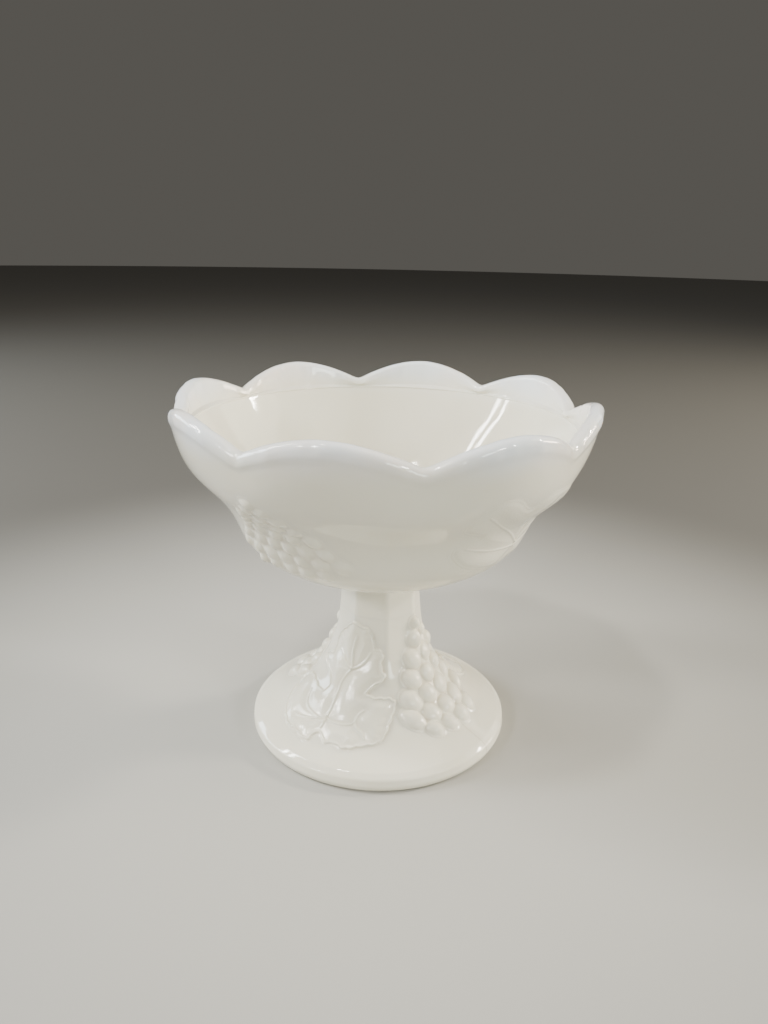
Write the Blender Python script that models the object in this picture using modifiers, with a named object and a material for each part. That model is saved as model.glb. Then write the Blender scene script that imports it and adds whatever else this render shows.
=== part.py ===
"""Footed compote in pressed opal glass: an eight-lobed bowl on a short octagonal stem and a flared
round foot that is hollow underneath, with vine leaves and bunches of grapes in relief.

Metres, +Z up. The origin is the centre of the ring that the foot rests on, on the vessel's axis.
A cusp of the rim and an edge of the stem point along -Y. Run it with
blender --background --python part.py, or from Blender's text editor.
"""

import math

import bmesh
import bpy
from mathutils import Vector
from mathutils.geometry import convex_hull_2d

GAP = 0.0003  # clearance between two touching pieces
MERGE = 0.00001

# Rim: LOBES scallops, each a rounded crest between two cusps.
LOBES = 8
CUSP_DROP = 0.0070  # how far a cusp lies below a crest
CUSP_INSET = 0.0024  # how far a cusp lies inside a crest's radius
LOBE_POWER = 1.8  # 2 is a parabola, less is more pointed at the cusps
SCALLOP_START_Z = 0.0900  # the wall is plain and round below this

# Bowl, in section through a crest, as (radius, height).
BOWL_UNDERSIDE_Z = 0.0602
BOWL_HEIGHT = 0.1226
RIM_THICKNESS = 0.0040
RIM_RADIUS = 0.0700
BOWL_WALL = (
    (0.0220, 0.0608),
    (0.0316, 0.0643),
    (0.0401, 0.0691),
    (0.0462, 0.0753),
    (0.0505, 0.0835),
    (0.0563, 0.0927),
    (0.0635, 0.1012),
    (0.0681, 0.1110),
    (0.0700, 0.1206),
)
BOWL_SEAT_RADIUS = 0.0145
BOWL_LINING = (
    (0.0660, 0.1206),
    (0.0635, 0.1125),
    (0.0593, 0.1035),
    (0.0529, 0.0954),
    (0.0469, 0.0875),
    (0.0407, 0.0799),
    (0.0323, 0.0730),
    (0.0192, 0.0678),
    (0.0000, 0.0660),
)

# Stem and foot: the octagon fades into a round flare between the two heights.
STEM_SIDES = 8
STEM_TOP_Z = BOWL_UNDERSIDE_Z - GAP
STEM_BOTTOM_Z = 0.0460
STEM_WAIST_Z = 0.0540
STEM_RADII = (0.0144, 0.0143, 0.0148)  # to the edges of the octagon: top, waist and bottom
FOOT_TOP_Z = STEM_BOTTOM_Z - GAP
OCTAGON_FULL_Z = 0.0400
OCTAGON_GONE_Z = 0.0160
FOOT_WALL = (
    (0.0444, 0.0063),
    (0.0420, 0.0073),
    (0.0370, 0.0095),
    (0.0315, 0.0130),
    (0.0265, 0.0170),
    (0.0220, 0.0230),
    (0.0184, 0.0300),
    (0.0158, 0.0380),
    (0.0148, FOOT_TOP_Z),
)
FOOT_LIP = ((0.0462, 0.0049), (0.0466, 0.0024), (0.0459, 0.0007), (0.0445, 0.0))
FOOT_HOLLOW = (
    (0.0405, 0.0),
    (0.0390, 0.0022),
    (0.0335, 0.0058),
    (0.0270, 0.0098),
    (0.0205, 0.0150),
    (0.0140, 0.0215),
    (0.0070, 0.0262),
    (0.0000, 0.0275),
)

# Relief: closed outlines as (across, up) on the wall, from a leaf's tip and clockwise.
LEAF_THICKNESS = 0.0008
FOOT_LEAF = (
    (0.0012, 0.0526),
    (0.0024, 0.0504),
    (0.0046, 0.0498),
    (0.0066, 0.0480),
    (0.0076, 0.0456),
    (0.0087, 0.0430),
    (0.0106, 0.0422),
    (0.0121, 0.0396),
    (0.0123, 0.0366),
    (0.0146, 0.0328),
    (0.0119, 0.0299),
    (0.0102, 0.0274),
    (0.0130, 0.0264),
    (0.0170, 0.0264),
    (0.0204, 0.0252),
    (0.0219, 0.0200),
    (0.0226, 0.0155),
    (0.0221, 0.0110),
    (0.0170, 0.0090),
    (0.0135, 0.0076),
    (0.0101, 0.0074),
    (0.0078, 0.0082),
    (0.0045, 0.0073),
    (0.0016, 0.0096),
    (-0.0006, 0.0094),
    (-0.0012, 0.0066),
    (-0.0046, 0.0058),
    (-0.0089, 0.0067),
    (-0.0124, 0.0063),
    (-0.0160, 0.0073),
    (-0.0200, 0.0092),
    (-0.0234, 0.0124),
    (-0.0244, 0.0166),
    (-0.0230, 0.0212),
    (-0.0192, 0.0242),
    (-0.0134, 0.0246),
    (-0.0084, 0.0254),
    (-0.0082, 0.0272),
    (-0.0130, 0.0298),
    (-0.0152, 0.0320),
    (-0.0130, 0.0348),
    (-0.0096, 0.0364),
    (-0.0090, 0.0410),
    (-0.0072, 0.0456),
    (-0.0040, 0.0484),
    (-0.0014, 0.0512),
)
BOWL_LEAF = (
    (0.0000, 0.0665),
    (0.0080, 0.0642),
    (0.0125, 0.0590),
    (0.0210, 0.0632),
    (0.0310, 0.0618),
    (0.0332, 0.0545),
    (0.0290, 0.0485),
    (0.0225, 0.0452),
    (0.0280, 0.0415),
    (0.0255, 0.0360),
    (0.0190, 0.0315),
    (0.0110, 0.0288),
    (0.0040, 0.0293),
    (0.0000, 0.0330),
    (-0.0040, 0.0293),
    (-0.0110, 0.0288),
    (-0.0190, 0.0315),
    (-0.0255, 0.0360),
    (-0.0280, 0.0415),
    (-0.0225, 0.0452),
    (-0.0290, 0.0485),
    (-0.0332, 0.0545),
    (-0.0310, 0.0618),
    (-0.0210, 0.0632),
    (-0.0125, 0.0590),
    (-0.0080, 0.0642),
)
BACKING_THICKNESS = 0.0007
GRAPE_SIDES = 8
GRAPE_RINGS = 4
GRAPE_HEIGHT = 0.0019  # how far a grape stands off the wall
# The foot's grapes, as (across, up, radius) on the wall.
FOOT_GRAPES = (
    (-0.0005, 0.0500, 0.0020),
    (-0.0008, 0.0437, 0.0031),
    (0.0050, 0.0446, 0.0025),
    (-0.0044, 0.0370, 0.0034),
    (0.0034, 0.0374, 0.0033),
    (0.0100, 0.0390, 0.0027),
    (-0.0076, 0.0306, 0.0035),
    (0.0002, 0.0306, 0.0034),
    (0.0076, 0.0316, 0.0032),
    (-0.0117, 0.0242, 0.0035),
    (-0.0038, 0.0243, 0.0034),
    (0.0042, 0.0246, 0.0034),
    (0.0118, 0.0260, 0.0031),
    (-0.0150, 0.0173, 0.0035),
    (-0.0074, 0.0178, 0.0034),
    (0.0004, 0.0180, 0.0034),
    (0.0080, 0.0184, 0.0034),
    (0.0148, 0.0198, 0.0032),
    (-0.0108, 0.0123, 0.0031),
    (-0.0036, 0.0120, 0.0032),
    (0.0038, 0.0119, 0.0032),
    (0.0108, 0.0125, 0.0032),
)
# The bowl's bunch is a hexagonal packing: grapes in each row, from the point down.
BOWL_ROWS = (1, 2, 3, 4, 5, 6, 7, 4)
BOWL_GRAPE = 0.0031  # radius
BOWL_BUNCH_TOP = 0.0630  # how far up the wall its first grape sits
BOWL_GRAPE_PITCH = (0.0066, 0.0048)  # across, and down to the next row
TUCK = 0.6  # how far the backing reaches under the outer grapes, as a part of their radius
WRAP_STEP = 0.0070  # a flat piece is cut this often before it is bent onto the wall

# Which way each motif faces, in degrees from -Y towards +X.
LEAVES_ON_FOOT = (-45.0, 135.0)
GRAPES_ON_FOOT = (45.0, -135.0)
LEAVES_ON_BOWL = (45.0, -135.0)
GRAPES_ON_BOWL = (-45.0, 135.0)

BOWL_STEPS = 80
FOOT_STEPS = 56
RIM_STEPS = 4  # pieces of the rim's rounded edge
HULL_STEPS = 8  # points round a grape that the backing's outline may use
SPAN_STEPS = 2  # pieces of the smooth curve between two points of a wall's section
SHARP_ANGLE = 35  # degrees; a wider bend between two faces is shaded as an edge
FLAT_ANGLE = 1  # degrees


def clear_scene():
    for item in list(bpy.data.objects):
        bpy.data.objects.remove(item, do_unlink=True)


def new_collection(name):
    collection = bpy.data.collections.new(name)
    bpy.context.scene.collection.children.link(collection)
    return collection


def glass(name, colour, roughness):
    """Opal glass: a glossy, opaque white."""
    material = bpy.data.materials.new(name)
    material.use_nodes = True
    shader = material.node_tree.nodes["Principled BSDF"]
    shader.inputs["Base Color"].default_value = (*colour, 1.0)
    shader.inputs["Roughness"].default_value = roughness
    shader.inputs["Metallic"].default_value = 0.0
    shader.inputs["IOR"].default_value = 1.5
    material.diffuse_color = (*colour, 1.0)
    return material


def smooth_path(points, steps=SPAN_STEPS):
    """A Catmull-Rom curve through the points, as a list of (across, up) pairs."""
    points = [Vector(point) for point in points]
    ends = [2 * points[0] - points[1], *points, 2 * points[-1] - points[-2]]
    path = []
    for before, here, there, after in zip(ends, ends[1:], ends[2:], ends[3:]):
        for step in range(steps):
            t = step / steps
            linear = there - before
            square = 2 * before - 5 * here + 4 * there - after
            cube = 3 * (here - there) + after - before
            path.append(here + 0.5 * (linear * t + square * t**2 + cube * t**3))
    path.append(points[-1])
    return path


def arc(centre, radius, start, end, steps):
    """Points along an arc, in degrees, without its two ends."""
    path = []
    for step in range(1, steps):
        angle = math.radians(start + (end - start) * step / steps)
        path.append(Vector((centre[0] + radius * math.cos(angle), centre[1] + radius * math.sin(angle))))
    return path


def fade(value, low, high):
    """0 at low and 1 at high, with smooth ends."""
    t = min(max((value - low) / (high - low), 0.0), 1.0)
    return t * t * (3 - 2 * t)


def azimuth_of(point):
    """The angle round the axis, from -Y towards +X."""
    return math.atan2(point.x, -point.y)


def lobe_height(azimuth):
    """1 on a lobe's crest and 0 at a cusp."""
    sector = 2 * math.pi / LOBES
    across = abs((azimuth % sector) / sector * 2 - 1)
    return 1 - across**LOBE_POWER


def scalloped(point):
    """Where a point of the round bowl goes when its rim is drawn down and in at the cusps."""
    part = fade(point.z, SCALLOP_START_Z, BOWL_HEIGHT) * (1 - lobe_height(azimuth_of(point)))
    radius = math.hypot(point.x, point.y)
    inset = 1 - CUSP_INSET * part / radius if radius else 1
    return Vector((point.x * inset, point.y * inset, point.z - CUSP_DROP * part))


def octagonal(point):
    """Where a point of the round foot goes when its neck is pressed into eight flats."""
    sector = 2 * math.pi / STEM_SIDES
    off_middle = azimuth_of(point) % sector - sector / 2
    flat = math.cos(sector / 2) / math.cos(off_middle)
    factor = 1 + (flat - 1) * fade(point.z, OCTAGON_GONE_Z, OCTAGON_FULL_Z)
    return Vector((point.x * factor, point.y * factor, point.z))


def baked(item):
    """The same object with its modifiers applied to its mesh."""
    evaluated = item.evaluated_get(bpy.context.evaluated_depsgraph_get())
    mesh = bpy.data.meshes.new_from_object(evaluated)
    item.modifiers.clear()
    item.data = mesh
    return item


def finish(item, material):
    item.data.materials.clear()
    item.data.materials.append(material)
    item.data.shade_smooth()
    item.data.set_sharp_from_angle(angle=math.radians(SHARP_ANGLE))


def turned(name, profile, steps, collection):
    """A profile of (radius, height) pairs, down its outer side, turned round the axis."""
    mesh = bpy.data.meshes.new(name)
    mesh.from_pydata([(0.0, -radius, z) for radius, z in profile], [], [])
    mesh.edges.add(len(profile) - 1)
    for index, edge in enumerate(mesh.edges):
        edge.vertices = (index, index + 1)
    item = bpy.data.objects.new(name, mesh)
    collection.objects.link(item)
    screw = item.modifiers.new("Turn", "SCREW")
    screw.axis = "Z"
    screw.steps = steps
    screw.render_steps = steps
    screw.use_merge_vertices = True
    screw.merge_threshold = MERGE
    return item


def make_bowl(collection, material):
    lining = smooth_path(BOWL_LINING, 1)
    lining.reverse()
    wall = smooth_path(BOWL_WALL)
    wall.reverse()
    rim_centre = (RIM_RADIUS - RIM_THICKNESS / 2, BOWL_HEIGHT - RIM_THICKNESS / 2)
    rim = arc(rim_centre, RIM_THICKNESS / 2, 180, 0, RIM_STEPS)
    seat = [Vector((BOWL_SEAT_RADIUS, BOWL_UNDERSIDE_Z)), Vector((0.0, BOWL_UNDERSIDE_Z))]
    item = baked(turned("bowl", lining + rim + wall + seat, BOWL_STEPS, collection))
    for vertex in item.data.vertices:
        vertex.co = scalloped(vertex.co)
    finish(item, material)
    return item


def make_stem(collection, material):
    top, waist, bottom = STEM_RADII
    profile = (
        (0.0, STEM_TOP_Z),
        (top, STEM_TOP_Z),
        (waist, STEM_WAIST_Z),
        (bottom, STEM_BOTTOM_Z),
        (0.0, STEM_BOTTOM_Z),
    )
    item = baked(turned("stem", profile, STEM_SIDES, collection))
    finish(item, material)
    return item


def make_foot(collection, material):
    wall = smooth_path(FOOT_WALL)
    wall.reverse()
    hollow = smooth_path(FOOT_HOLLOW, 1)
    lip = [Vector(point) for point in FOOT_LIP]
    profile = [Vector((0.0, FOOT_TOP_Z))] + wall + lip + hollow
    item = baked(turned("foot", profile, FOOT_STEPS, collection))
    for vertex in item.data.vertices:
        vertex.co = octagonal(vertex.co)
    finish(item, material)
    return item


def along(path, distance):
    """The radius, height and outward normal at a distance up a wall's section."""
    for start, end in zip(path, path[1:]):
        length = (end - start).length
        if distance <= length or end is path[-1]:
            step = (end - start) / length
            point = start + step * distance
            return point.x, point.y, Vector((step.y, -step.x))
        distance -= length


def wrap(item, wall, facing):
    """Bends a flat piece, x across, y up and z off the wall, onto the wall.

    A wall is its round section and the function that gives its points their final place."""
    section, reshaped = wall
    for vertex in item.data.vertices:
        across, up, off = vertex.co
        radius, z, normal = along(section, up)
        azimuth = math.radians(facing) + across / radius
        radius += normal.x * off
        point = Vector((radius * math.sin(azimuth), -radius * math.cos(azimuth), z + normal.y * off))
        vertex.co = reshaped(point)


def grid_cut(item):
    """Cuts a flat piece along even lines both ways, one of them x = 0, so that it can bend."""
    shape = bmesh.new()
    shape.from_mesh(item.data)
    flat = math.radians(FLAT_ANGLE)
    bmesh.ops.dissolve_limit(shape, angle_limit=flat, verts=shape.verts[:], edges=shape.edges[:])
    for axis in (0, 1):
        low = min(vertex.co[axis] for vertex in shape.verts)
        high = max(vertex.co[axis] for vertex in shape.verts)
        if axis == 0:
            high = max(high, -low)
            low = -high
        lines = 2 * math.ceil((high - low) / WRAP_STEP / 2)
        normal = Vector((1 - axis, axis, 0))
        for line in range(1, lines):
            at = normal * (low + (high - low) * line / lines)
            geometry = shape.verts[:] + shape.edges[:] + shape.faces[:]
            bmesh.ops.bisect_plane(shape, geom=geometry, plane_co=at, plane_no=normal, dist=MERGE)
    bmesh.ops.triangulate(shape, faces=shape.faces[:])
    shape.to_mesh(item.data)
    shape.free()


def flat_plate(name, outline, thickness, collection):
    """A flat outline with a thickness, its back one gap above z = 0."""
    curve = bpy.data.curves.new(name, "CURVE")
    curve.dimensions = "2D"
    curve.fill_mode = "BOTH"
    curve.extrude = thickness / 2
    spline = curve.splines.new("POLY")
    spline.points.add(len(outline) - 1)
    for point, (across, up) in zip(spline.points, outline):
        point.co = (across, up, 0, 1)
    spline.use_cyclic_u = True
    guide = bpy.data.objects.new(name + "_outline", curve)
    collection.objects.link(guide)
    evaluated = guide.evaluated_get(bpy.context.evaluated_depsgraph_get())
    mesh = bpy.data.meshes.new_from_object(evaluated)
    bpy.data.objects.remove(guide)
    shape = bmesh.new()
    shape.from_mesh(mesh)
    bmesh.ops.remove_doubles(shape, verts=shape.verts[:], dist=MERGE)
    bmesh.ops.translate(shape, verts=shape.verts[:], vec=(0, 0, GAP + thickness / 2))
    bmesh.ops.recalc_face_normals(shape, faces=shape.faces[:])
    shape.to_mesh(mesh)
    shape.free()
    item = bpy.data.objects.new(name, mesh)
    collection.objects.link(item)
    return item


def bowl_grapes():
    """The bowl's grapes, as (across, up, radius), in hexagonal packing."""
    across, down = BOWL_GRAPE_PITCH
    places = []
    for row, count in enumerate(BOWL_ROWS):
        for index in range(count):
            places.append(((index - (count - 1) / 2) * across, BOWL_BUNCH_TOP - row * down, BOWL_GRAPE))
    return places


def bunch_outline(places):
    """The backing of a bunch: the outline round all its grapes, tucked under the outer ones."""
    points = []
    for across, up, radius in places:
        for step in range(HULL_STEPS):
            angle = 2 * math.pi * step / HULL_STEPS
            reach = radius * TUCK
            points.append(Vector((across + reach * math.cos(angle), up + reach * math.sin(angle))))
    return [points[index] for index in convex_hull_2d(points)]


def grapes(name, places, collection):
    """Low domes side by side, each sunk into the backing."""
    shape = bmesh.new()
    for across, up, radius in places:
        dome = bmesh.ops.create_uvsphere(shape, u_segments=GRAPE_SIDES, v_segments=GRAPE_RINGS, radius=radius)
        rise = GRAPE_HEIGHT - GAP - BACKING_THICKNESS / 2
        for vertex in dome["verts"]:
            vertex.co.z = max(vertex.co.z, 0.0) * rise / radius
            vertex.co += Vector((across, up, GAP + BACKING_THICKNESS / 2))
    bmesh.ops.dissolve_degenerate(shape, dist=MERGE, edges=shape.edges[:])
    mesh = bpy.data.meshes.new(name)
    shape.to_mesh(mesh)
    shape.free()
    item = bpy.data.objects.new(name, mesh)
    collection.objects.link(item)
    item.hide_render = True
    item.display_type = "WIRE"
    return item


def make_leaf(name, outline, wall, facing, collection, material):
    item = flat_plate(name, outline, LEAF_THICKNESS, collection)
    grid_cut(item)
    wrap(item, wall, facing)
    finish(item, material)
    return item


def make_bunch(name, places, wall, facing, collections, material):
    parts, cutters = collections
    item = flat_plate(name, bunch_outline(places), BACKING_THICKNESS, parts)
    grid_cut(item)
    domes = grapes(name + "_domes", places, cutters)
    union = item.modifiers.new("Grapes", "BOOLEAN")
    union.operation = "UNION"
    union.object = domes
    baked(item)
    wrap(item, wall, facing)
    finish(item, material)
    return item


def main():
    clear_scene()
    parts = new_collection("footed_compote")
    cutters = new_collection("footed_compote_cutters")
    make_bowl(parts, glass("bowl_glass", (0.86, 0.86, 0.84), 0.12))
    make_stem(parts, glass("stem_glass", (0.84, 0.84, 0.81), 0.12))
    make_foot(parts, glass("foot_glass", (0.87, 0.87, 0.84), 0.12))
    foot_wall = (smooth_path(FOOT_WALL), octagonal)
    bowl_wall = (smooth_path(BOWL_WALL), scalloped)
    both = (parts, cutters)
    for number, facing in enumerate(LEAVES_ON_FOOT, 1):
        name = f"foot_leaf_{number}"
        material = glass(name + "_glass", (0.87, 0.86, 0.82), 0.2)
        make_leaf(name, FOOT_LEAF, foot_wall, facing, parts, material)
    for number, facing in enumerate(GRAPES_ON_FOOT, 1):
        name = f"foot_grapes_{number}"
        material = glass(name + "_glass", (0.88, 0.87, 0.83), 0.15)
        make_bunch(name, FOOT_GRAPES, foot_wall, facing, both, material)
    for number, facing in enumerate(LEAVES_ON_BOWL, 1):
        name = f"bowl_leaf_{number}"
        material = glass(name + "_glass", (0.85, 0.85, 0.82), 0.2)
        make_leaf(name, BOWL_LEAF, bowl_wall, facing, parts, material)
    for number, facing in enumerate(GRAPES_ON_BOWL, 1):
        name = f"bowl_grapes_{number}"
        material = glass(name + "_glass", (0.86, 0.85, 0.82), 0.15)
        make_bunch(name, bowl_grapes(), bowl_wall, facing, both, material)


main()
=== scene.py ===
"""Looks of the footed compote: glossy opal glass, pressed with vine leaves and bunches of grapes.

Every glass piece is a fine mesh that takes the place of the CAD node it is named after, and that node is
hidden. The bowl, the stem and the foot are turned sections given their lobes and flats; each relief is a
height field laid on its wall.
Lengths are in metres, except where a comment says millimetres. An azimuth is measured from -Y towards +X.
"""

import math

import bpy
import numpy as np
from mathutils import Matrix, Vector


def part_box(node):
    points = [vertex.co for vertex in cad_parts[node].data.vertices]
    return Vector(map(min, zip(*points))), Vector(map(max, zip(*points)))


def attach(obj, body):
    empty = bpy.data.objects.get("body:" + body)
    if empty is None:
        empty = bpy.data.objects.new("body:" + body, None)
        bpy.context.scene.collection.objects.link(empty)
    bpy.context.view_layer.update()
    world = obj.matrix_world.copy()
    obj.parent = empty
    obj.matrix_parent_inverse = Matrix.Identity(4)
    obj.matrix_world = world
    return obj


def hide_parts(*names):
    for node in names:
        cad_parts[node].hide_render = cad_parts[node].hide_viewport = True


MM = 0.001

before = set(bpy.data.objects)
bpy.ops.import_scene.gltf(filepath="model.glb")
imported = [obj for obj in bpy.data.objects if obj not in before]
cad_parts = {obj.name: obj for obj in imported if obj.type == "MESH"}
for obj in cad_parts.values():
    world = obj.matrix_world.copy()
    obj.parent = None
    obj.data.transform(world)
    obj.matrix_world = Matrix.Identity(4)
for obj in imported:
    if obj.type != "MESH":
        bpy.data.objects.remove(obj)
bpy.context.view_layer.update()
bowl_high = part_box("bowl")[1]
stem_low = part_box("stem")[0]

# Heights that the CAD pieces give.
RIM_TOP = bowl_high.z
NECK_JOINT = stem_low.z

# Rim: eight rounded lobes between cusps.
LOBES = 8
LOBE_POWER = 1.8
CUSP_DROP = 7.0 * MM
CUSP_INSET = 2.4 * MM
ROLL_Z = RIM_TOP - 2.0 * MM  # the middle of the rolled edge
PRESS_LINE_Z = 112.5 * MM  # where the lining meets the ring that pressed the rim
SCALLOP_START_Z = 90.0 * MM  # the lobes fade out here on the outer wall
CUSP_CRISP = 0.05  # how rounded a cusp is at the rim, as a part of half a lobe
CUSP_SOFTENING = 0.45  # how much more it is rounded at the foot of the lobes
EDGE_WAVES = ((0.10 * MM, 31, 0.4), (0.08 * MM, 53, 2.1), (0.06 * MM, 87, 4.0))  # rise, waves round, phase

# Sections, as (radius, height) in millimetres, all through a lobe's crest.
BOWL_WALL = (
    (22.0, 60.8),
    (31.6, 64.8),
    (40.4, 69.4),
    (46.7, 75.3),
    (50.5, 83.5),
    (56.3, 92.7),
    (63.5, 101.2),
    (67.9, 111.0),
    (69.2, 116.4),
)
BOWL_LINING = (
    (0.0, 66.0),
    (19.2, 67.8),
    (32.3, 73.0),
    (40.7, 79.9),
    (47.3, 87.2),
    (53.2, 95.0),
    (58.8, 103.5),
    (63.3, 112.1),
)
PRESS_RING = (  # a fine line, then straight up to the rim
    (63.3, 112.1),
    (63.05, 112.6),
    (63.7, 113.1),
    (64.4, 113.7),
    (65.7, 121.3),
)
RIM = (
    (65.95, 121.95),
    (66.6, 122.4),
    (67.7, 122.6),
    (68.7, 122.45),
    (69.5, 121.8),
    (69.95, 120.7),
    (70.0, 119.5),
    (69.85, 118.4),
    (69.55, 117.5),
    (69.2, 116.4),
)
BOWL_UNDERSIDE = ((22.0, 60.8), (14.5, 60.25), (8.0, 60.2), (0.0, 60.2))
FOOT_WALL = (
    (44.4, 6.3),
    (42.0, 7.3),
    (37.0, 9.5),
    (31.5, 13.0),
    (26.5, 17.0),
    (22.0, 23.0),
    (18.4, 30.0),
    (15.8, 38.0),
    (14.8, 45.7),
)
# The foot's edge has facets, and each of their corners is eased.
FOOT_LIP = ((44.4, 6.3), (46.2, 4.9), (46.6, 2.4), (45.9, 0.7), (44.5, 0.0))
FOOT_RING = ((44.5, 0.0), (42.5, 0.0), (40.5, 0.0))
FOOT_HOLLOW = (
    (40.2, 0.25),
    (38.6, 2.4),
    (33.5, 5.4),
    (27.0, 9.8),
    (20.5, 15.0),
    (14.0, 21.5),
    (7.0, 26.2),
    (0.0, 27.5),
)
FOOT_END = (14.45, 49.0)  # the foot's wall runs on to here, inside the stem
STEM_WALL = ((14.9, 44.0), (14.78, 46.0), (14.4, 50.0), (14.3, 54.0), (14.4, 58.0), (15.3, 60.4))
STEM_TOP = ((15.3, 60.7), (0.0, 60.7))  # hidden in the bowl's underside
TUCK_SLOPE = 0.12  # how fast the stem and the foot draw in past the joint between them
OCTAGON_SIDES = 8
OCTAGON_FULL_Z = 40.0 * MM
OCTAGON_GONE_Z = 16.0 * MM

# Relief outlines and veins, as (across, up) in millimetres on the wall.
FOOT_LEAF = (
    (0.6, 51.4),
    (2.4, 50.2),
    (4.6, 49.8),
    (6.6, 48.0),
    (7.6, 45.6),
    (8.7, 43.0),
    (10.6, 42.2),
    (12.1, 39.6),
    (12.3, 36.6),
    (14.6, 32.8),
    (11.9, 29.9),
    (10.2, 27.4),
    (13.0, 26.4),
    (17.0, 26.4),
    (20.4, 25.2),
    (21.9, 20.0),
    (22.6, 15.5),
    (22.1, 11.0),
    (17.0, 9.0),
    (13.5, 7.6),
    (10.1, 7.4),
    (7.8, 8.2),
    (4.5, 7.3),
    (1.6, 9.6),
    (-0.6, 9.4),
    (-1.2, 6.6),
    (-4.6, 5.8),
    (-8.9, 6.7),
    (-12.4, 6.3),
    (-16.0, 7.3),
    (-20.0, 9.2),
    (-23.4, 12.4),
    (-24.4, 16.6),
    (-23.0, 21.2),
    (-19.2, 24.2),
    (-13.4, 24.6),
    (-6.4, 24.2),
    (-5.4, 26.8),
    (-8.6, 30.2),
    (-12.8, 32.6),
    (-13.0, 34.8),
    (-9.6, 36.4),
    (-9.0, 41.0),
    (-7.2, 45.6),
    (-4.0, 48.4),
    (-1.3, 50.8),
)
FOOT_LEAF_VEINS = (
    ((0.2, 12.0), (0.2, 16.0), (-0.2, 22.0), (-0.3, 26.0), (0.3, 31.0), (2.1, 34.6)),
    ((2.1, 34.6), (-0.5, 36.0), (-2.4, 37.8), (-5.0, 39.2)),
    ((2.1, 34.6), (4.9, 36.2), (6.2, 38.2), (7.2, 40.6)),
    ((2.1, 34.6), (1.0, 40.0), (1.3, 46.0)),
    ((0.2, 14.0), (-5.4, 15.0), (-10.6, 16.4), (-12.0, 18.2), (-12.6, 21.0)),
    ((0.2, 16.0), (3.0, 15.2), (6.6, 15.3), (10.2, 17.0), (10.1, 19.2), (11.2, 21.4)),
    ((10.2, 17.0), (12.0, 15.0), (14.4, 13.7), (16.4, 11.6)),
    ((0.2, 16.0), (-5.0, 13.4), (-12.5, 11.0)),
)
BOWL_LEAF = (
    (0.0, 66.5),
    (8.0, 64.2),
    (12.5, 59.0),
    (21.0, 63.0),
    (31.0, 61.8),
    (33.2, 54.5),
    (29.0, 48.5),
    (22.5, 45.2),
    (28.0, 41.5),
    (25.5, 36.0),
    (19.0, 31.5),
    (11.0, 28.8),
    (4.0, 29.3),
    (0.0, 33.0),
    (-4.0, 29.3),
    (-11.0, 28.8),
    (-19.0, 31.5),
    (-25.5, 36.0),
    (-28.0, 41.5),
    (-22.5, 45.2),
    (-29.0, 48.5),
    (-33.2, 54.5),
    (-31.0, 61.8),
    (-21.0, 63.0),
    (-12.5, 59.0),
    (-8.0, 64.2),
)
BOWL_LEAF_VEINS = (
    ((0.0, 33.2), (0.4, 44.0), (-0.4, 54.0), (0.2, 62.0)),
    ((0.0, 37.0), (-8.0, 43.4), (-16.5, 49.1), (-28.0, 57.4)),
    ((0.0, 37.0), (8.0, 43.4), (16.5, 49.1), (28.0, 57.4)),
    ((0.0, 35.5), (-9.0, 36.8), (-17.0, 38.6), (-24.0, 41.0)),
    ((0.0, 35.5), (9.0, 36.8), (17.0, 38.6), (24.0, 41.0)),
)
# Grapes, as (across, up, radius) in millimetres on the wall.
FOOT_GRAPES = (
    (-0.5, 50.0, 2.0),
    (-0.8, 43.7, 3.1),
    (5.0, 44.6, 2.5),
    (-4.4, 37.0, 3.4),
    (3.4, 37.4, 3.3),
    (10.0, 39.0, 2.7),
    (-7.6, 30.6, 3.5),
    (0.2, 30.6, 3.4),
    (7.6, 31.6, 3.2),
    (-11.7, 24.2, 3.5),
    (-3.8, 24.3, 3.4),
    (4.2, 24.6, 3.4),
    (11.8, 26.0, 3.1),
    (-15.0, 17.3, 3.5),
    (-7.4, 17.8, 3.4),
    (0.4, 18.0, 3.4),
    (8.0, 18.4, 3.4),
    (14.8, 19.8, 3.2),
    (-10.8, 12.3, 3.1),
    (-3.6, 12.0, 3.2),
    (3.8, 11.9, 3.2),
    (10.8, 12.5, 3.2),
)
BOWL_ROWS = (1, 2, 3, 4, 5, 6, 7, 5)  # grapes in each row of a bunch on the bowl, from its point down
BOWL_ROWS_TOP = 63.0
BOWL_ROWS_PITCH = (6.2, 4.8)  # across and down
BOWL_GRAPE = 2.8

# How each motif stands up from its wall.
FOOT_LEAF_LOOK = {
    "blade": 0.45 * MM,
    "edge": 0.4 * MM,
    "bead": 0.4 * MM,
    "vein": 0.5 * MM,
    "swell": 0.6 * MM,
    "slope": 4.0 * MM,
    "tooth": 0.4 * MM,
    "teeth": 54,
}
BOWL_LEAF_LOOK = {
    "blade": 0.35 * MM,
    "edge": 2.4 * MM,
    "bead": 0.06 * MM,
    "vein": 0.2 * MM,
    "swell": 0.3 * MM,
    "slope": 6.0 * MM,
    "tooth": 0.0,
    "teeth": 1,
}
FOOT_BUNCH_LOOK = {"rise": 2.2 * MM, "round": 0.6, "blend": 0.6 * MM, "uneven": 0.08, "seed": 3}
BOWL_BUNCH_LOOK = {"rise": 1.15 * MM, "round": 1.2, "blend": 0.4 * MM, "uneven": 0.16, "seed": 5}

LEAVES_ON_FOOT = (-45.0, 135.0)
GRAPES_ON_FOOT = (45.0, -135.0)
LEAVES_ON_BOWL = (45.0, -135.0)
GRAPES_ON_BOWL = (-45.0, 135.0)

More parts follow.
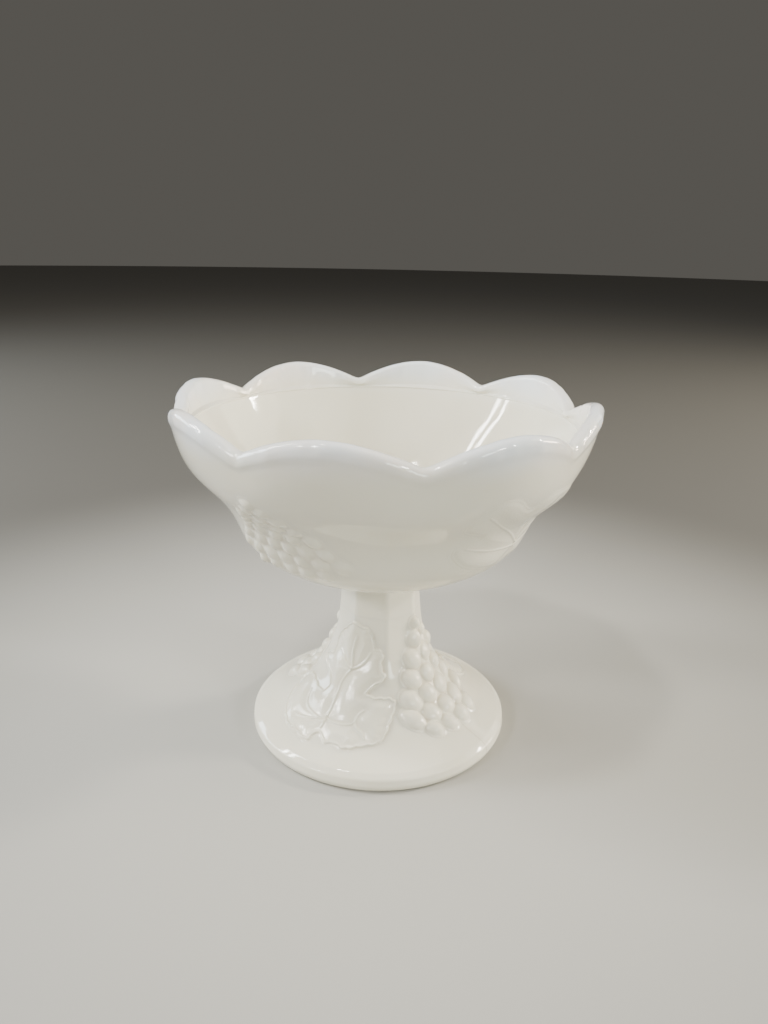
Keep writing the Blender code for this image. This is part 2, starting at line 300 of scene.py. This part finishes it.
# The patch of wall that each motif's height field covers: half its width, then its low and high ends.
FOOT_LEAF_PATCH = (27 * MM, 4.5 * MM, 55.5 * MM)
FOOT_BUNCH_PATCH = (27 * MM, 4 * MM, 57 * MM)
BOWL_LEAF_PATCH = (37 * MM, 25 * MM, 70 * MM)
BOWL_BUNCH_PATCH = (29 * MM, 22 * MM, 70 * MM)

# Columns round each turned piece, multiples of the lobes and of the octagon's sides.
AROUND_BOWL = 328
AROUND_STEM = 240
AROUND_FOOT = 336
OUTLINE_STEP = 0.5 * MM  # between the points of a leaf's edge, and of its veins
BEAD_WIDTH = 0.45 * MM  # half the width of the line along a leaf's edge
RELIEF_STEP = 0.24 * MM
RELIEF_DEPTH = 2.4 * MM  # how deep a relief piece roots in its wall
RELIEF_SKIN = 0.02 * MM  # a relief's edge starts this far proud of the wall
RELIEF_MARGIN = 2.2 * MM  # and sinks over this width
RELIEF_SUNK = -0.06 * MM  # to this far under the wall, where it ends
HOLLOW_REACH = 1.4 * MM  # dust gathers and shade is painted where the relief is lower than its mean over this distance
HOLLOW_FULL = 0.5 * MM  # and both are at their thickest where it is this much lower

# Colours.
BODY_COLOUR = (0.83, 0.785, 0.64)
BODY_COLOUR_PALE = (0.87, 0.835, 0.715)
# Lighter rim tints: partly the glass's opalescence, partly painted glow of light shining through the thin
# edge.
RIM_COOL_GLOW = (0.88, 0.92, 0.96)
RIM_ROSY_GLOW = (0.91, 0.86, 0.81)
# A brownish tint: partly dust and partly painted shade in the reliefs' hollows; it also tints the mould's
# seam lines.
DUST_AND_SHADE = (0.52, 0.42, 0.30)

# Stage: a pale floor, darker from a distance, in a dim room with softboxes. The floor's fall from pale to
# dark is a painted pool of light round the object.
FLOOR_RADIUS = 4.0
FLOOR_ROUGHNESS = 0.55
FLOOR_PALE_TO = 0.08
FLOOR_DARK_FROM = 0.32
FLOOR_PALE = (0.42, 0.41, 0.38)
FLOOR_DARK = (0.11, 0.105, 0.095)
ROOM_COLOUR = (0.10, 0.095, 0.085)
LIGHT_DISTANCE = 1.2
LIGHT_AIM_Z = 0.08  # the height on the bowl's axis that every softbox faces
# Name, azimuth, elevation, width and height, power, colour.
SOFTBOXES = (
    ("window_left", -99, 37, (0.04, 0.66), 7, (1.0, 0.99, 0.95)),
    ("window_left_2", -105, 37, (0.04, 0.66), 7, (1.0, 0.99, 0.95)),
    ("lamp", -60, 66, (0.12, 0.1), 6, (1.0, 0.97, 0.9)),
    ("window_front_left", -62, 30, (0.24, 0.12), 7, (1.0, 0.99, 0.96)),
    ("window_sky", -118, 15, (0.7, 0.26), 10, (0.8, 0.92, 1.0)),
    ("window_right", 91, 27, (0.17, 0.1), 11, (1.0, 0.95, 0.85)),
    ("soft_right", 100, 25, (0.9, 0.6), 5, (1.0, 0.97, 0.75)),
    ("right_low", 95, 10, (0.36, 0.18), 6.5, (1.0, 0.8, 0.62)),
    ("window_front_right", 46, 22, (0.15, 0.12), 5.2, (1.0, 0.97, 0.93)),
    ("soft_front", 24, 14, (0.4, 0.24), 4.5, (0.9, 1.0, 0.92)),
    ("ceiling", 0, 86, (0.9, 0.9), 2, (1.0, 0.93, 0.8)),
)

# Camera: where it stands, how it looks, and its lens.
CAMERA_AZIMUTH = -9.476
CAMERA_DISTANCE = 253.7 * MM
CAMERA_HEIGHT = 170.9 * MM
CAMERA_TURN = -9.619
CAMERA_PITCH = 19.598
CAMERA_ROLL = 1.186
CAMERA_LENS = 27.38


# ---------------------------------------------------------------- curves and sections


def spline(points, step):
    """The natural cubic curve through the points, as rows about step apart."""
    points = np.array(points, float) * MM
    gaps = np.hypot(*np.diff(points, axis=0).T)
    at = np.concatenate([[0.0], np.cumsum(gaps)])
    count = len(points)
    system = np.eye(count)
    right = np.zeros_like(points)
    for i in range(1, count - 1):
        system[i, i - 1 : i + 2] = gaps[i - 1], 2 * (gaps[i - 1] + gaps[i]), gaps[i]
        slopes = (points[i + 1] - points[i]) / gaps[i] - (points[i] - points[i - 1]) / gaps[i - 1]
        right[i] = 6 * slopes
    bend = np.linalg.solve(system, right)
    t = np.linspace(0, at[-1], max(2, round(at[-1] / step) + 1))
    i = np.clip(np.searchsorted(at, t, side="right") - 1, 0, count - 2)
    gap = gaps[i][:, None]
    before = (t - at[i])[:, None]
    after = gap - before
    cubic = (bend[i] * after**3 + bend[i + 1] * before**3) / (6 * gap)
    first = (points[i] / gap - bend[i] * gap / 6) * after
    last = (points[i + 1] / gap - bend[i + 1] * gap / 6) * before
    return cubic + first + last


def eased(points, cut, step):
    """A polyline in millimetres with each corner rounded off over that length, as rows about step apart."""
    points = np.array(points, float) * MM
    rows = [points[:1]]
    t = np.linspace(0, 1, 9)[:, None]
    for before, corner, after in zip(points[:-2], points[1:-1], points[2:]):
        start = corner + (before - corner) * min(cut / np.linalg.norm(before - corner), 0.49)
        end = corner + (after - corner) * min(cut / np.linalg.norm(after - corner), 0.49)
        rows.append(between(rows[-1][-1], start, step))
        rows.append((1 - t) ** 2 * start + 2 * t * (1 - t) * corner + t**2 * end)
    rows.append(between(rows[-1][-1], points[-1], step))
    return joined(*rows)


def between(start, end, step):
    """Evenly spaced rows from one point to another."""
    count = max(1, round(np.linalg.norm(end - start) / step))
    return start + (end - start) * np.linspace(0, 1, count + 1)[:, None]


def joined(*stretches):
    """Stretches of a section end to end, without the points that meet."""
    rows = [stretches[0]]
    for stretch in stretches[1:]:
        start = 1 if np.allclose(rows[-1][-1], stretch[0], atol=1e-6) else 0
        rows.append(stretch[start:])
    return np.concatenate(rows)


def fade(value, low, high):
    t = np.clip((value - low) / (high - low), 0, 1)
    return t * t * (3 - 2 * t)


def lobe_dip(azimuth, soft):
    """0 on a lobe's crest and 1 at a cusp; soft rounds the cusp's corner."""
    sector = 2 * np.pi / LOBES
    off_crest = np.abs((azimuth % sector) / sector * 2 - 1)
    full = np.sqrt(1 + soft**2)
    corner = np.sqrt((1 - off_crest) ** 2 + soft**2)
    return ((full - corner) / (full - soft)) ** LOBE_POWER


def scalloped(radius, azimuth, z, soft, start):
    """A point of the round bowl, drawn down and in towards the nearest cusp."""
    dip = lobe_dip(azimuth, soft)
    lower = CUSP_DROP * dip * np.clip((z - start) / (ROLL_Z - start), 0, 1)
    inward = CUSP_INSET * dip * fade(z, start, ROLL_Z)
    return radius - inward, azimuth, z - lower


def wall_softness(z):
    """How rounded the outer wall's cusp lines are: crisp at the rim and gone at the foot of the lobes."""
    return CUSP_CRISP + CUSP_SOFTENING * (1 - fade(z, SCALLOP_START_Z, ROLL_Z))


def bowl_place(radius, azimuth, z):
    return scalloped(radius, azimuth, z, wall_softness(z), SCALLOP_START_Z)


def octagonal(radius, azimuth, z):
    """A point of the round foot, pressed towards eight flats with softened edges."""
    sector = 2 * np.pi / OCTAGON_SIDES
    off_middle = azimuth % sector - sector / 2
    flat = math.cos(sector / 2) / np.cos(off_middle)
    edge = 0.985
    blend = 0.008
    soft = (flat + edge - np.sqrt((flat - edge) ** 2 + blend**2)) / 2
    return radius * (1 + (soft - 1) * fade(z, OCTAGON_GONE_Z, OCTAGON_FULL_Z)), azimuth, z


def to_xyz(radius, azimuth, z):
    return np.stack(np.broadcast_arrays(radius * np.sin(azimuth), -radius * np.cos(azimuth), z), axis=-1)


# ---------------------------------------------------------------- meshes


def mesh_object(name, points, faces):
    """A smooth-shaded object from points and quads, its faces turned outwards."""
    corner = points[np.concatenate([faces[:, [0, 1, 2]], faces[:, [0, 2, 3]]])]
    volume = np.einsum("ij,ij->", corner[:, 0], np.cross(corner[:, 1], corner[:, 2]))
    if volume < 0:
        faces = faces[:, ::-1]
    mesh = bpy.data.meshes.new(name)
    mesh.vertices.add(len(points))
    mesh.vertices.foreach_set("co", points.astype(np.float32).ravel())
    # A quad whose last corner repeats its first is a triangle at a pole.
    sizes = np.where(faces[:, 0] == faces[:, -1], 3, 4)
    keep = np.arange(4)[None, :] < sizes[:, None]
    loops = faces[keep]
    mesh.loops.add(len(loops))
    mesh.loops.foreach_set("vertex_index", loops.astype(np.int32))
    mesh.polygons.add(len(faces))
    starts = np.concatenate([[0], np.cumsum(sizes)[:-1]])
    mesh.polygons.foreach_set("loop_start", starts.astype(np.int32))
    mesh.polygons.foreach_set("use_smooth", np.ones(len(faces), bool))
    mesh.update(calc_edges=True)
    mesh.validate()
    item = bpy.data.objects.new(name, mesh)
    bpy.context.scene.collection.objects.link(item)
    return item


def turned(name, section, around, place):
    """A section from axis to axis turned round, each point put where place says."""
    azimuth = np.linspace(0, 2 * np.pi, around, endpoint=False)
    body = section[1:-1]
    radius, azimuth, z = place(body[:, :1], azimuth[None, :], body[:, 1:])
    points = to_xyz(radius, azimuth, z).reshape(-1, 3)
    poles = np.array([[0, 0, section[0, 1]], [0, 0, section[-1, 1]]])
    points = np.concatenate([points, poles])
    rows, top, bottom = len(body), len(body) * around, len(body) * around + 1
    here = np.arange(rows * around).reshape(rows, around)
    ahead = np.roll(here, -1, axis=1)
    quads = np.stack([here[:-1], ahead[:-1], ahead[1:], here[1:]], axis=-1).reshape(-1, 4)
    first = np.stack([here[0], np.full(around, top), ahead[0]], axis=-1)
    last = np.stack([ahead[-1], np.full(around, bottom), here[-1]], axis=-1)
    fans = np.concatenate([first, last])
    faces = np.concatenate([quads, np.column_stack([fans, fans[:, 0]])])
    return mesh_object(name, points, faces)


class Wall:
    """The outer wall that reliefs are laid on: a section with its lengths, and its final shape."""

    def __init__(self, section, place):
        self.section = section
        self.place = place
        self.up = np.concatenate([[0.0], np.cumsum(np.hypot(*np.diff(section, axis=0).T))])
        slope = np.gradient(section, self.up, axis=0)
        slope /= np.linalg.norm(slope, axis=1)[:, None]
        self.normal = np.column_stack([slope[:, 1], -slope[:, 0]])

    def lay(self, facing, across, up, rise):
        """Points at a distance across and up the wall, and rise off it."""
        radius, z = (np.interp(up, self.up, self.section[:, k]) for k in (0, 1))
        out, lift = (np.interp(up, self.up, self.normal[:, k]) for k in (0, 1))
        azimuth = math.radians(facing) + across / radius
        radius, azimuth, z = self.place(radius, azimuth, z)
        return to_xyz(radius + out * rise, azimuth, z + lift * rise)


def relief(name, wall, facing, patch, height):
    """A closed piece whose face is the height field, rooted in the wall, where it stands proud."""
    half, low, high = patch
    across, up = np.meshgrid(
        np.arange(-half, half + RELIEF_STEP, RELIEF_STEP),
        np.arange(low, high + RELIEF_STEP, RELIEF_STEP),
    )
    rise = height(across, up)
    solid = rise > RELIEF_SUNK
    cells = solid[:-1, :-1] | solid[1:, :-1] | solid[:-1, 1:] | solid[1:, 1:]
    cells[0] = cells[-1] = False
    cells[:, 0] = cells[:, -1] = False
    rise = np.maximum(rise, RELIEF_SUNK * 1.5)
    face = wall.lay(facing, across, up, rise).reshape(-1, 3)
    root = wall.lay(facing, across, up, -RELIEF_DEPTH).reshape(-1, 3)
    index = np.arange(across.size).reshape(across.shape)
    corners = (index[:-1, :-1], index[:-1, 1:], index[1:, 1:], index[1:, :-1])
    quads = np.stack([c[cells] for c in corners], axis=-1)
    back = quads[:, ::-1] + across.size
    sides = []
    for shift, pair in (((-1, 0), (1, 0)), ((1, 0), (3, 2)), ((0, -1), (0, 3)), ((0, 1), (2, 1))):
        beside = np.roll(cells, (-shift[0], -shift[1]), (0, 1))
        edge = cells & ~beside
        start, end = corners[pair[0]][edge], corners[pair[1]][edge]
        sides.append(np.stack([start, end, end + across.size, start + across.size], axis=-1))
    faces = np.concatenate([quads, back, *sides])
    points = np.concatenate([face, root])
    used, packed = np.unique(faces, return_inverse=True)
    item = mesh_object(name, points[used], packed.reshape(faces.shape))
    # How deep each point lies in a hollow; the material darkens it there with dust and painted shade.
    shade = item.data.attributes.new("hollow", "FLOAT", "POINT")
    both = np.concatenate([hollow(rise).ravel(), np.zeros(rise.size)])
    shade.data.foreach_set("value", both[used].astype(np.float32))
    return item


def hollow(rise):
    """How far each point of a height field lies below the mean of those around it, from 0 to 1."""
    reach = round(HOLLOW_REACH / RELIEF_STEP)
    mean = rise
    for axis in (0, 1):
        mean = sum(np.roll(mean, shift, axis) for shift in range(-reach, reach + 1)) / (2 * reach + 1)
    return np.clip((mean - rise) / HOLLOW_FULL, 0, 1)


# ---------------------------------------------------------------- reliefs as heights


def to_segments(points, x, y):
    """Distance to a polyline, and how far along it the nearest point is, from 0 to 1."""
    points = np.asarray(points, float)
    best = np.full(x.shape, np.inf)
    along = np.zeros(x.shape)
    total = len(points) - 1
    for i, (start, end) in enumerate(zip(points[:-1], points[1:])):
        step = end - start
        length = step @ step
        if length == 0:
            continue
        t = np.clip(((x - start[0]) * step[0] + (y - start[1]) * step[1]) / length, 0, 1)
        gap = np.hypot(x - start[0] - t * step[0], y - start[1] - t * step[1])
        near = gap < best
        best = np.where(near, gap, best)
        along = np.where(near, (i + t) / total, along)
    return best, along


def inside(outline, x, y):
    """Whether points lie inside a closed outline."""
    result = np.zeros(x.shape, bool)
    for (x0, y0), (x1, y1) in zip(outline, np.roll(outline, -1, axis=0)):
        if y0 == y1:
            continue
        crosses = (y0 > y) != (y1 > y)
        result ^= crosses & (x < (x1 - x0) * (y - y0) / (y1 - y0) + x0)
    return result


def ridge(distance, width, rise):
    """A rounded bead of that half width."""
    t = np.clip(distance / width, 0, 1)
    return rise * (1 - t * t) ** 2


def settled(outside):
    """A relief's rise beyond its outline: it lies on the wall, then sinks into it."""
    drop = RELIEF_SKIN - RELIEF_SUNK
    return RELIEF_SKIN - drop * (outside / RELIEF_MARGIN) ** 2


def higher(one, other, blend):
    """The greater of two heights, with the corner between them filled."""
    near = np.clip(0.5 + (one - other) / (2 * blend), 0, 1)
    return other + (one - other) * near + blend * near * (1 - near)


def leaf_height(points, veins, look):
    """A low leaf: its edge and veins are thin raised lines, and its blades swell between them."""
    closed = spline((*points, points[0]), OUTLINE_STEP)
    outline = closed[:-1]

    def height(x, y):
        distance, along = to_segments(closed, x, y)
        depth = np.where(inside(outline, x, y), distance, -distance)
        depth += look["tooth"] * (np.abs(np.sin(math.pi * look["teeth"] * along)) - 0.6)
        rise = np.where(depth < 0, settled(-depth), RELIEF_SKIN)
        rise += look["blade"] * fade(depth, -0.05 * MM, look["edge"])
        rise += ridge(np.abs(depth - BEAD_WIDTH), BEAD_WIDTH, look["bead"])
        nearest = np.full(x.shape, 9 * MM)
        for vein in veins:
            gap, out = to_segments(spline(vein, OUTLINE_STEP), x, y)
            nearest = np.minimum(nearest, gap)
            line = ridge(gap, (0.55 - 0.1 * out) * MM, look["vein"] * (1 - 0.3 * out))
            rise += line * fade(depth, 0, 0.8 * MM)
        swollen = fade(depth, 0.8 * MM, look["slope"]) * fade(nearest, 0.3 * MM, look["slope"])
        return rise + look["swell"] * swollen

    return height


def rows_of_grapes():
    """The bowl's bunch: rows from its point down."""
    across, down = BOWL_ROWS_PITCH
    for row, count in enumerate(BOWL_ROWS):
        for index in range(count):
            yield (index - (count - 1) / 2) * across, BOWL_ROWS_TOP - row * down, BOWL_GRAPE


def bunch_height(grapes, look):
    """Grapes as domes that run into each other, uneven in size, place and height."""
    random = np.random.default_rng(look["seed"])
    uneven = look["uneven"]
    places = []
    for across, up, radius in grapes:
        wobble = random.normal(0, 2 * uneven, 2)
        size = radius * random.uniform(1 - uneven, 1 + uneven)
        tall = look["rise"] * random.uniform(1 - 2 * uneven, 1 + uneven)
        places.append((across + wobble[0], up + wobble[1], size, tall))

    def height(x, y):
        outside = np.full(x.shape, 50 * MM)
        domes = np.full(x.shape, -1 * MM)
        for across, up, size, tall in places:
            gap = np.hypot(x - across * MM, y - up * MM)
            outside = np.minimum(outside, gap - size * 1.12 * MM)
            part = np.clip(1 - (gap / (size * 1.06 * MM)) ** 2, 0, 1)
            dome = np.where(part > 0, tall * part ** look["round"], -0.3 * MM)
            domes = higher(dome, domes, look["blend"])
        ground = np.where(outside > 0, settled(outside), RELIEF_SKIN)
        ground += 0.3 * MM * fade(-outside, 0, 1.0 * MM)
        return np.where(outside > 0.6 * MM, ground, higher(domes, ground, 0.12 * MM))

    return height


# ---------------------------------------------------------------- materials


class Nodes:
    """Short ways to add and join a material's nodes."""

    def __init__(self, material):
        self.tree = material.node_tree
        self.place = self.add("ShaderNodeNewGeometry").outputs["Position"]

    def add(self, kind, inputs=None, **settings):
        node = self.tree.nodes.new(kind)
        for name, value in settings.items():
            setattr(node, name, value)
        for name, value in (inputs or {}).items():
            self.give(node.inputs[name], value)
        return node

    def give(self, socket, value):
        if isinstance(value, bpy.types.NodeSocket):
            self.tree.links.new(value, socket)
        else:
            socket.default_value = value

    def noise(self, size, detail=2.0):
        """Soft noise whose features are about that size."""
        values = {"Vector": self.place, "Scale": 1 / size, "Detail": detail}
        return self.add("ShaderNodeTexNoise", values).outputs["Fac"]

    def ramp(self, value, low, high, to_low=0.0, to_high=1.0):
        values = {"Value": value, "From Min": low, "From Max": high, "To Min": to_low, "To Max": to_high}
        return self.add("ShaderNodeMapRange", values, interpolation_type="SMOOTHSTEP").outputs["Result"]

    def mix(self, amount, one, other):
        values = [(*value, 1) if isinstance(value, tuple) else value for value in (one, other)]
        node = self.add("ShaderNodeMix", {0: amount, 6: values[0], 7: values[1]}, data_type="RGBA")
        return node.outputs[2]

    def math(self, operation, one, other=0.0):
        return self.add("ShaderNodeMath", {0: one, 1: other}, operation=operation).outputs[0]

    def bump(self, height, distance, strength=1.0, under=None):
        values = {"Height": height, "Distance": distance, "Strength": strength}
        if under:
            values["Normal"] = under
        return self.add("ShaderNodeBump", values).outputs["Normal"]


def opal_glass(name, roughness, finish=None):
    """Milk glass: a warm white body with a cooler rim, under a clear and slightly wavy gloss. The rim's
    lighter tint is partly the glass's opalescence and partly painted glow of light shining through the thin
    edge.
    """
    material = bpy.data.materials.new(name)
    material.use_nodes = True
    shader = material.node_tree.nodes["Principled BSDF"]
    shader.inputs["IOR"].default_value = 1.52
    shader.inputs["Subsurface Weight"].default_value = 0.35
    shader.inputs["Subsurface Radius"].default_value = (1.0, 0.92, 0.8)
    shader.inputs["Subsurface Scale"].default_value = 1.2 * MM
    nodes = Nodes(material)
    height = nodes.add("ShaderNodeSeparateXYZ", {"Vector": nodes.place}).outputs["Z"]
    body = nodes.mix(nodes.noise(25 * MM, 3.0), BODY_COLOUR, BODY_COLOUR_PALE)
    # Near the rim the colour is partly the glass's opalescent tint and partly painted glow of light through
    # the thin edge.
    rim = nodes.mix(nodes.ramp(nodes.noise(50 * MM), 0.4, 0.6), RIM_COOL_GLOW, RIM_ROSY_GLOW)
    colour = nodes.mix(nodes.ramp(height, RIM_TOP - 14 * MM, RIM_TOP - 1 * MM), body, rim)
    gloss = nodes.ramp(nodes.noise(6 * MM, 4.0), 0.3, 0.7, roughness * 0.7, roughness * 1.4)
    normal = nodes.bump(nodes.noise(11 * MM), 0.12 * MM, 0.5)
    if finish:
        colour, normal = finish(nodes, colour, normal)
    nodes.give(shader.inputs["Base Color"], colour)
    nodes.give(shader.inputs["Roughness"], gloss)
    nodes.give(shader.inputs["Normal"], normal)
    return material


def stippled(nodes, colour, normal):
    """The fine pebbling of a leaf's blades, which the mould leaves."""
    values = {"Vector": nodes.place, "Scale": 1 / (0.6 * MM)}
    grain = nodes.add("ShaderNodeTexVoronoi", values).outputs["Distance"]
    return hollow_shade_and_dust(nodes, colour, nodes.bump(grain, 0.03 * MM, 1.0, normal))


def hammered(nodes, colour, normal):
    """The shallow dimples on the grapes."""
    return hollow_shade_and_dust(nodes, colour, nodes.bump(nodes.noise(2 * MM), 0.08 * MM, 1.0, normal))


def hollow_shade_and_dust(nodes, colour, normal):
    """Old dust that stays in a relief's hollows, patchily, together with painted shade there."""
    # Darker in the hollows: partly old dust, partly painted shade.
    dust_and_shade = nodes.add("ShaderNodeAttribute", attribute_name="hollow").outputs["Fac"]
    patchy = nodes.ramp(nodes.noise(7 * MM, 3.0), 0.35, 0.75, 0.0, 0.6)
    return nodes.mix(nodes.math("MULTIPLY", dust_and_shade, patchy), colour, DUST_AND_SHADE), normal


def seamed(nodes, colour, normal):
    """The two fine lines where the mould's halves met, from under each bunch to the foot's edge."""
    angle = math.radians(GRAPES_ON_FOOT[0])
    sideways = (math.cos(angle), math.sin(angle), 0)
    across = nodes.add("ShaderNodeVectorMath", {0: nodes.place, 1: sideways}, operation="DOT_PRODUCT")
    off = nodes.math("ABSOLUTE", across.outputs["Value"])
    line = nodes.ramp(off, 0.05 * MM, 0.3 * MM, 1.0, 0.0)
    tint = nodes.math("MULTIPLY", line, 0.35)
    return nodes.mix(tint, colour, DUST_AND_SHADE), nodes.bump(line, 0.06 * MM, 0.8, normal)


# ---------------------------------------------------------------- pieces


def add_piece(item, material, node):
    item.data.materials.append(material)
    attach(item, "root")
    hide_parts(node)


def bowl_section():
    """The bowl's section, from the lining's middle to the underside's, and how many rows face inwards."""
    lining = spline(BOWL_LINING, step=1.0 * MM)
    ring = eased((BOWL_LINING[-2], *PRESS_RING, RIM[0]), cut=0.2 * MM, step=0.6 * MM)
    ring = ring[ring[:, 1] >= lining[-1, 1] - 0.2 * MM]
    lining = lining[lining[:, 1] < ring[0, 1] - 0.2 * MM]
    edge = spline(RIM, step=0.22 * MM)
    wall = spline(BOWL_WALL, step=0.85 * MM)[::-1]
    under = spline(BOWL_UNDERSIDE, step=1.0 * MM)
    inner_rows = len(lining) + len(ring) + len(edge) // 3
    return joined(lining, ring, edge, wall, under), inner_rows


def make_bowl(material):
    section, inner_rows = bowl_section()
    rows = section[1:-1]
    outer = np.arange(len(rows)) >= inner_rows
    z = rows[:, 1]
    soft = np.where(outer, wall_softness(z), CUSP_CRISP)
    start = np.where(outer, SCALLOP_START_Z, PRESS_LINE_Z)  # the lining is round below the press line
    near_edge = fade(z, ROLL_Z - 4 * MM, ROLL_Z)

    def place(radius, azimuth, height):
        waves = sum(rise * np.sin(count * azimuth + phase) for rise, count, phase in EDGE_WAVES)
        radius = radius + waves * near_edge[:, None]
        return scalloped(radius, azimuth, height, soft[:, None], start[:, None])

    item = turned("bowl_glass", section, AROUND_BOWL, place)
    add_piece(item, material, "bowl")


def make_stem(material):
    wall = spline(STEM_WALL, step=0.6 * MM)
    below = np.clip(NECK_JOINT - wall[:, 1], 0, None)
    wall[:, 0] -= below * TUCK_SLOPE
    top = np.array(STEM_TOP) * MM
    bottom = np.array([[0.0, STEM_WALL[0][1]]]) * MM
    section = joined(bottom, wall, top)[::-1]
    item = turned("stem_glass", section, AROUND_STEM, octagonal)
    add_piece(item, material, "stem")


def make_foot(material):
    wall = spline((*FOOT_WALL, FOOT_END), step=0.6 * MM)
    above = np.clip(wall[:, 1] - NECK_JOINT, 0, None)
    wall[:, 0] -= above * TUCK_SLOPE
    wall = wall[::-1]
    lip = eased((FOOT_WALL[1], *FOOT_LIP, FOOT_RING[1]), cut=0.55 * MM, step=0.5 * MM)
    lip = lip[(lip[:, 0] > FOOT_WALL[0][0] * MM + 0.1 * MM)]
    ring = np.array(FOOT_RING) * MM
    underside = spline(FOOT_HOLLOW, step=1.2 * MM)
    top = np.array([[0.0, FOOT_END[1]]]) * MM
    section = joined(top, wall, lip, ring, underside)
    item = turned("foot_glass", section, AROUND_FOOT, octagonal)
    add_piece(item, material, "foot")


def make_reliefs(leaf_glass, grape_glass):
    foot_wall = Wall(spline(FOOT_WALL, step=0.3 * MM), octagonal)
    bowl_wall = Wall(spline(BOWL_WALL, step=0.3 * MM), bowl_place)
    foot_leaf = leaf_height(FOOT_LEAF, FOOT_LEAF_VEINS, FOOT_LEAF_LOOK)
    foot_bunch = bunch_height(FOOT_GRAPES, FOOT_BUNCH_LOOK)
    bowl_leaf = leaf_height(BOWL_LEAF, BOWL_LEAF_VEINS, BOWL_LEAF_LOOK)
    bowl_bunch = bunch_height(rows_of_grapes(), BOWL_BUNCH_LOOK)
    groups = (
        ("foot_leaf", LEAVES_ON_FOOT, foot_wall, FOOT_LEAF_PATCH, foot_leaf, leaf_glass),
        ("foot_grapes", GRAPES_ON_FOOT, foot_wall, FOOT_BUNCH_PATCH, foot_bunch, grape_glass),
        ("bowl_leaf", LEAVES_ON_BOWL, bowl_wall, BOWL_LEAF_PATCH, bowl_leaf, leaf_glass),
        ("bowl_grapes", GRAPES_ON_BOWL, bowl_wall, BOWL_BUNCH_PATCH, bowl_bunch, grape_glass),
    )
    for kind, facings, wall, patch, height, material in groups:
        for number, facing in enumerate(facings, 1):
            item = relief(f"{kind}_{number}_glass", wall, facing, patch, height)
            add_piece(item, material, f"{kind}_{number}")


# ---------------------------------------------------------------- stage


def make_stage():
    """A pale floor that falls off to a darker tone away from the object: a painted pool of light."""
    bpy.ops.mesh.primitive_circle_add(vertices=96, radius=FLOOR_RADIUS, fill_type="NGON")
    floor = bpy.context.object
    floor.name = "floor"
    material = bpy.data.materials.new("floor")
    material.use_nodes = True
    nodes, links = material.node_tree.nodes, material.node_tree.links
    shader = nodes["Principled BSDF"]
    shader.inputs["Roughness"].default_value = FLOOR_ROUGHNESS
    place = nodes.new("ShaderNodeNewGeometry")
    far = nodes.new("ShaderNodeVectorMath")
    far.operation = "LENGTH"
    links.new(place.outputs["Position"], far.inputs[0])
    # Painted pool of light: the floor's colour darkens with distance from the object.
    fall = nodes.new("ShaderNodeMapRange")
    fall.interpolation_type = "SMOOTHSTEP"
    fall.inputs["From Min"].default_value = FLOOR_PALE_TO
    fall.inputs["From Max"].default_value = FLOOR_DARK_FROM
    links.new(far.outputs["Value"], fall.inputs["Value"])
    tone = nodes.new("ShaderNodeMix")
    tone.data_type = "RGBA"
    tone.inputs[6].default_value = (*FLOOR_PALE, 1)
    tone.inputs[7].default_value = (*FLOOR_DARK, 1)
    links.new(fall.outputs["Result"], tone.inputs[0])
    links.new(tone.outputs[2], shader.inputs["Base Color"])
    floor.data.materials.append(material)


def add_softbox(name, azimuth, elevation, size, power, colour):
    """An area light aimed at the bowl's axis from an azimuth and elevation."""
    light = bpy.data.lights.new(name, "AREA")
    light.shape = "RECTANGLE"
    light.size, light.size_y = size
    light.energy = power
    light.color = colour
    item = bpy.data.objects.new(name, light)
    bpy.context.scene.collection.objects.link(item)
    angle, tilt = math.radians(azimuth), math.radians(elevation)
    flat = LIGHT_DISTANCE * math.cos(tilt)
    height = LIGHT_AIM_Z + LIGHT_DISTANCE * math.sin(tilt)
    item.location = (flat * math.sin(angle), -flat * math.cos(angle), height)
    item.rotation_euler = (math.pi / 2 - tilt, 0, angle)


def make_lights():
    world = bpy.data.worlds.new("studio")
    bpy.context.scene.world = world
    world.use_nodes = True
    background = world.node_tree.nodes["Background"]
    background.inputs["Color"].default_value = (*ROOM_COLOUR, 1)
    background.inputs["Strength"].default_value = 1.0
    for softbox in SOFTBOXES:
        add_softbox(*softbox)


def make_camera():
    data = bpy.data.cameras.new("camera")
    data.lens = CAMERA_LENS
    data.sensor_width = 36.0
    data.clip_start = 0.01
    camera = bpy.data.objects.new("camera", data)
    bpy.context.scene.collection.objects.link(camera)
    azimuth = math.radians(CAMERA_AZIMUTH)
    place = (CAMERA_DISTANCE * math.sin(azimuth), -CAMERA_DISTANCE * math.cos(azimuth), CAMERA_HEIGHT)
    turn = Matrix.Rotation(math.radians(CAMERA_TURN), 4, "Z")
    tilt = Matrix.Rotation(math.radians(90 - CAMERA_PITCH), 4, "X")
    roll = Matrix.Rotation(math.radians(CAMERA_ROLL), 4, "Z")
    camera.matrix_world = Matrix.Translation(place) @ turn @ tilt @ roll
    bpy.context.scene.camera = camera


bowl_finish = opal_glass("opal_glass", 0.05)
foot_finish = opal_glass("opal_glass_foot", 0.06, seamed)
leaf_finish = opal_glass("opal_glass_leaf", 0.07, stippled)
grape_finish = opal_glass("opal_glass_grapes", 0.03, hammered)
make_bowl(bowl_finish)
make_stem(bowl_finish)
make_foot(foot_finish)
make_reliefs(leaf_finish, grape_finish)
make_stage()
make_lights()
make_camera()
